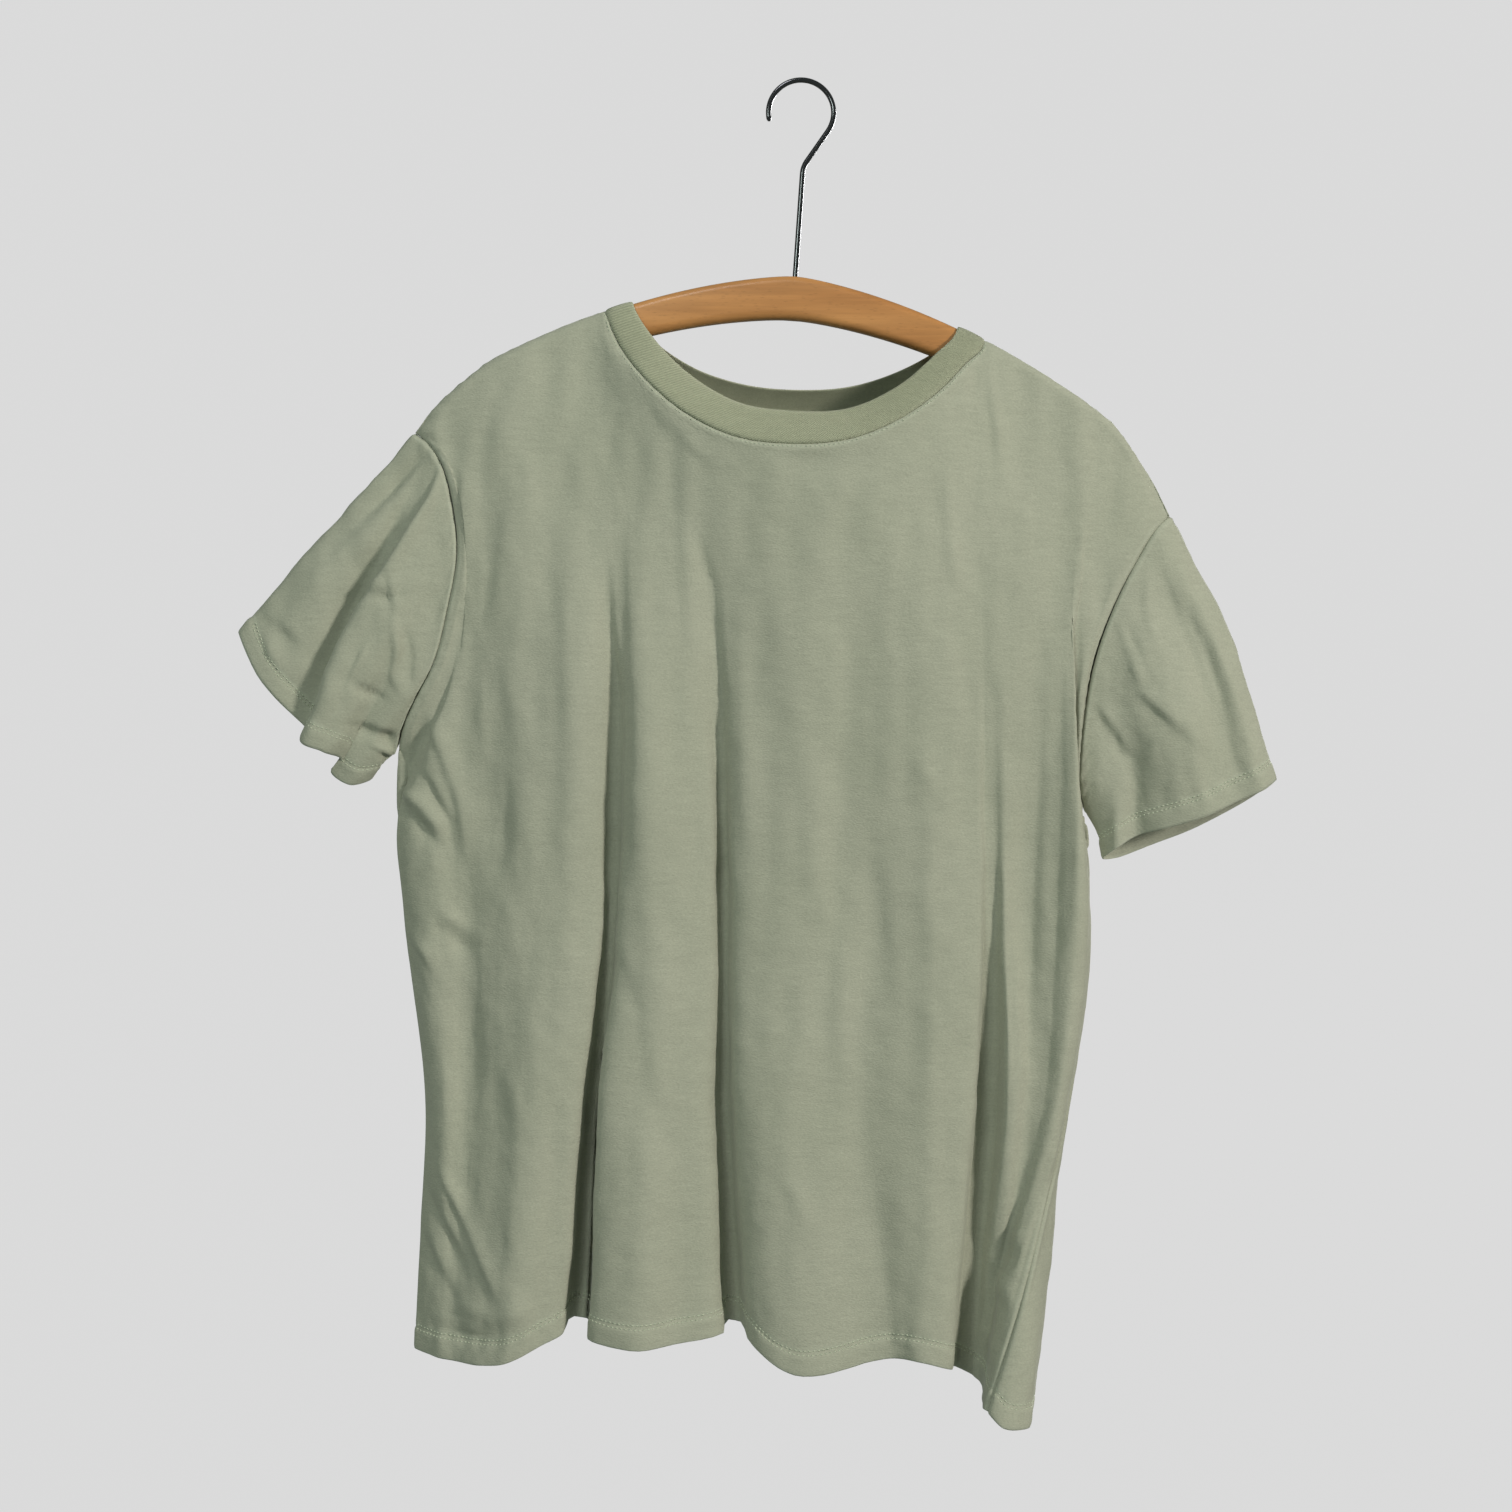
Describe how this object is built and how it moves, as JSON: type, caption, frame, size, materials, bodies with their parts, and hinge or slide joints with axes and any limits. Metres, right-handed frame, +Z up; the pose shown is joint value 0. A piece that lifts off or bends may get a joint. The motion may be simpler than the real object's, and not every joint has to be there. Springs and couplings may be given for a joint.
{
  "type": "shirt on hanger",
  "caption": "Short-sleeved crew-neck t-shirt of soft jersey, hanging in folds on a wooden hanger with a round wire hook.",
  "frame": {"origin": "top of the hook's inside, where the hanger rests on a rail", "axes": "+X to the right as seen from the shirt's front, -Y out of the front, +Z up"},
  "size_m": [0.684, 0.0973, 0.8775],
  "materials": {
    "jersey": "washed matte cotton jersey",
    "rib": "matte fine cotton rib",
    "beech": "satin clear varnish",
    "hook_wire": "dark polished chrome"
  },
  "bodies": {
    "root": {"front": "jersey", "back": "jersey", "sleeve_left": "jersey", "sleeve_right": "jersey", "neckband": "rib", "hanger": "beech", "hook": "hook_wire"}
  },
  "joints": []
}
